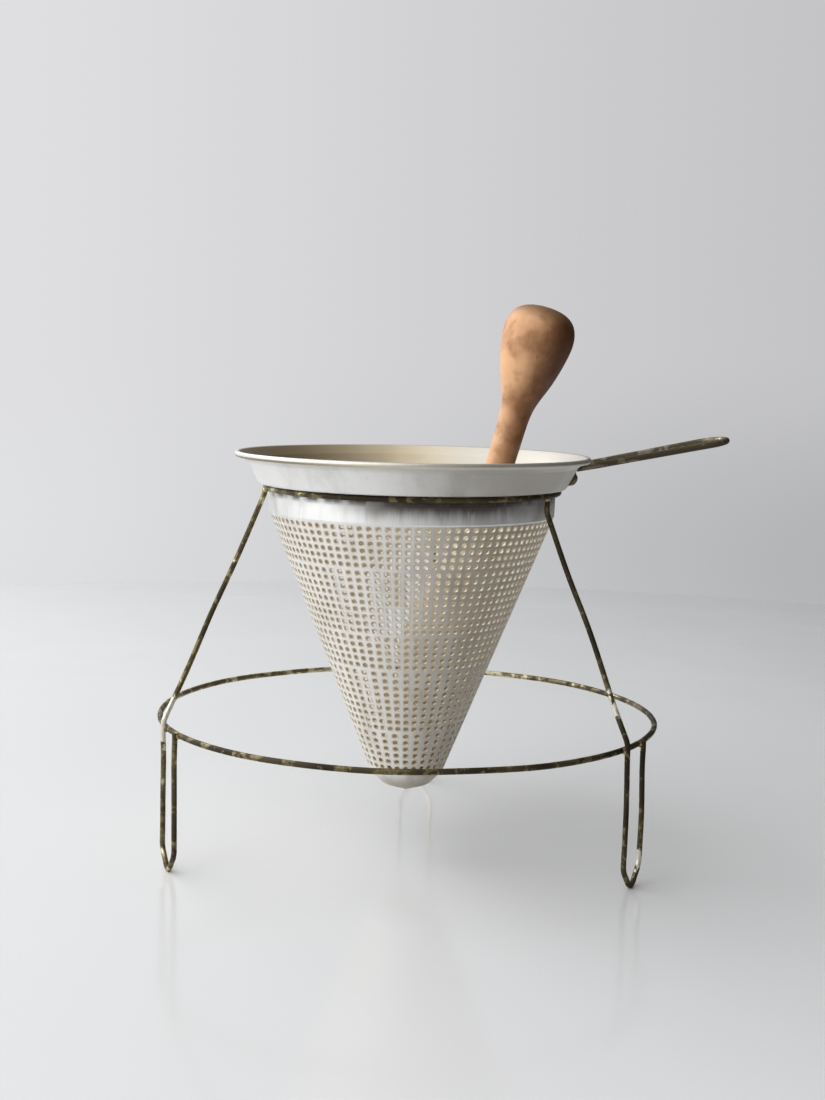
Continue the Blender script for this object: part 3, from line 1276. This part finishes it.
def backdrop_material(settings):
    """Dull pale backdrop, which the camera sees at its own colour, lighter on the left."""
    material, tree, shader = new_material("pale_backdrop", settings.wall)
    feed(tree, shader, Base_Color=settings.wall, Roughness=0.7)
    across = add_node(tree, "ShaderNodeSeparateXYZ", {0: placed(tree)}).outputs["X"]
    shade = mixed(tree, steps(tree, across, -0.9, 0.9), settings.wall_left, settings.wall)
    foot = mixed(tree, steps(tree, across, -0.9, 0.9), FOOT_LEFT, FOOT_RIGHT)
    rise = add_node(tree, "ShaderNodeSeparateXYZ", {0: placed(tree)}).outputs["Z"]
    shade = mixed(tree, steps(tree, rise, 0.0, 0.3), foot, shade)
    glow = add_node(tree, "ShaderNodeEmission", {"Color": shade, "Strength": 1.0})
    seen = add_node(tree, "ShaderNodeLightPath").outputs["Is Camera Ray"]
    both = add_node(tree, "ShaderNodeMixShader", {0: seen, 1: shader.outputs[0], 2: glow.outputs[0]})
    output = next(node for node in tree.nodes if node.type == "OUTPUT_MATERIAL")
    tree.links.new(both.outputs[0], output.inputs["Surface"])
    return material


def sky(world, settings):
    """Soft light all round, brighter on the left. Camera and glossy rays see it too."""
    world.use_nodes = True
    tree = world.node_tree
    tree.nodes.clear()
    way = add_node(tree, "ShaderNodeTexCoord").outputs["Generated"]
    side = add_node(tree, "ShaderNodeSeparateXYZ", {0: way}).outputs["X"]
    strength = steps(tree, side, 0.62, -0.85, 0.09, 0.97)
    glow = add_node(tree, "ShaderNodeBackground", {"Color": (0.97, 0.985, 1.0, 1), "Strength": strength})
    plain = add_node(tree, "ShaderNodeBackground", {"Color": settings.wall, "Strength": 1.0})
    seen = add_node(tree, "ShaderNodeLightPath").outputs["Is Camera Ray"]
    both = add_node(tree, "ShaderNodeMixShader", {0: seen, 1: glow.outputs[0], 2: plain.outputs[0]})
    output = add_node(tree, "ShaderNodeOutputWorld")
    tree.links.new(both.outputs[0], output.inputs["Surface"])


def aim(thing, target):
    """Turn a lamp to face the target."""
    thing.rotation_euler = (target - thing.location).to_track_quat("-Z", "Y").to_euler()


class FOODPRESS_OT_stage(bpy.types.Operator):
    """Floor, lamps and camera"""
    bl_idname = "foodpress.stage"
    bl_label = "Stage"

    def execute(self, context):
        scene = context.scene
        settings = scene.food_press_stage
        floor_bm = bmesh.new()
        add_lathe(floor_bm, [Vector((0, 0, 0)), Vector((FLOOR_RADIUS, 0, 0))], 96)
        wall_bm = bmesh.new()
        corner = Vector((FLOOR_RADIUS + WALL_BEND, 0, 0))
        corners = [Vector((FLOOR_RADIUS, 0, 0)), corner, corner + Vector((0, 0, WALL_HEIGHT))]
        add_lathe(wall_bm, rounded_line(corners, (WALL_BEND * 0.999,), 24), 96)
        pieces = (
            ("studio_floor", floor_bm, stage_material(settings)),
            ("studio_wall", wall_bm, backdrop_material(settings)),
        )
        for name, bm, material in pieces:
            bmesh.ops.reverse_faces(bm, faces=bm.faces)
            piece = to_object(name, bm)
            piece.data.materials.append(material)
            smooth(piece, 60)
        wall = bpy.data.objects["studio_wall"]
        wall.visible_diffuse = False
        wall.visible_glossy = False
        wall.visible_shadow = False
        world = bpy.data.worlds.new("studio_light")
        scene.world = world
        sky(world, settings)
        lamps = (
            ("key_lamp", (-1.6, -0.5, 1.65), 4.2, settings.key_power),
            ("back_lamp", (-0.7, 0.8, 0.9), 0.6, settings.key_power * 0.05),
        )
        for name, place, width, power in lamps:
            lamp = bpy.data.lights.new(name, "AREA")
            lamp.shape = "DISK"
            lamp.size = width
            lamp.energy = power
            holder = link(name, lamp)
            holder.location = place
            aim(holder, Vector((0, 0, 0.12)))
            holder.visible_camera = False
        self.set_camera(scene, settings)
        scene.view_settings.view_transform = "Standard"
        return {"FINISHED"}

    def set_camera(self, scene, settings):
        """Camera from its place, yaw, pitch and roll."""
        lens = bpy.data.cameras.new("camera")
        lens.lens = settings.lens
        lens.sensor_width = 36.0
        lens.clip_start = 0.01
        camera = link("camera", lens)
        level = Matrix.Rotation(-settings.yaw, 4, "Z") @ Matrix.Rotation(math.pi / 2 - settings.pitch, 4, "X")
        camera.matrix_world = Matrix.Translation(CAMERA_PLACE) @ level @ Matrix.Rotation(settings.roll, 4, "Z")
        scene.camera = camera


# ---------------------------------------------------------------- add-on

SETTINGS = {
    "food_press_sieve": SieveSettings,
    "food_press_stand": StandSettings,
    "food_press_handle": HandleSettings,
    "food_press_pestle": PestleSettings,
    "food_press_stage": StageSettings,
}
OPERATORS = (
    FOODPRESS_OT_cone,
    FOODPRESS_OT_collar,
    FOODPRESS_OT_stand,
    FOODPRESS_OT_brazing,
    FOODPRESS_OT_handle,
    FOODPRESS_OT_rivets,
    FOODPRESS_OT_pestle,
    FOODPRESS_OT_stage,
)


class FOODPRESS_PT_panel(bpy.types.Panel):
    """Makes each piece, and lists its sizes and colours"""
    bl_idname = "FOODPRESS_PT_panel"
    bl_label = "Food Press"
    bl_space_type = "VIEW_3D"
    bl_region_type = "UI"
    bl_category = "Food Press"

    def draw(self, context):
        for operator in OPERATORS:
            self.layout.operator(operator.bl_idname)
        for owner, group in SETTINGS.items():
            box = self.layout.box()
            for name in group.__annotations__:
                box.prop(getattr(context.scene, owner), name)


CLASSES = (*SETTINGS.values(), *OPERATORS, FOODPRESS_PT_panel)


def register():
    for item in CLASSES:
        bpy.utils.register_class(item)
    for owner, group in SETTINGS.items():
        setattr(bpy.types.Scene, owner, PointerProperty(type=group))


def unregister():
    for owner in SETTINGS:
        delattr(bpy.types.Scene, owner)
    for item in reversed(CLASSES):
        bpy.utils.unregister_class(item)


def main():
    register()
    for operator in OPERATORS:
        family, name = operator.bl_idname.split(".")
        getattr(getattr(bpy.ops, family), name)()


if __name__ == "__main__":
    main()
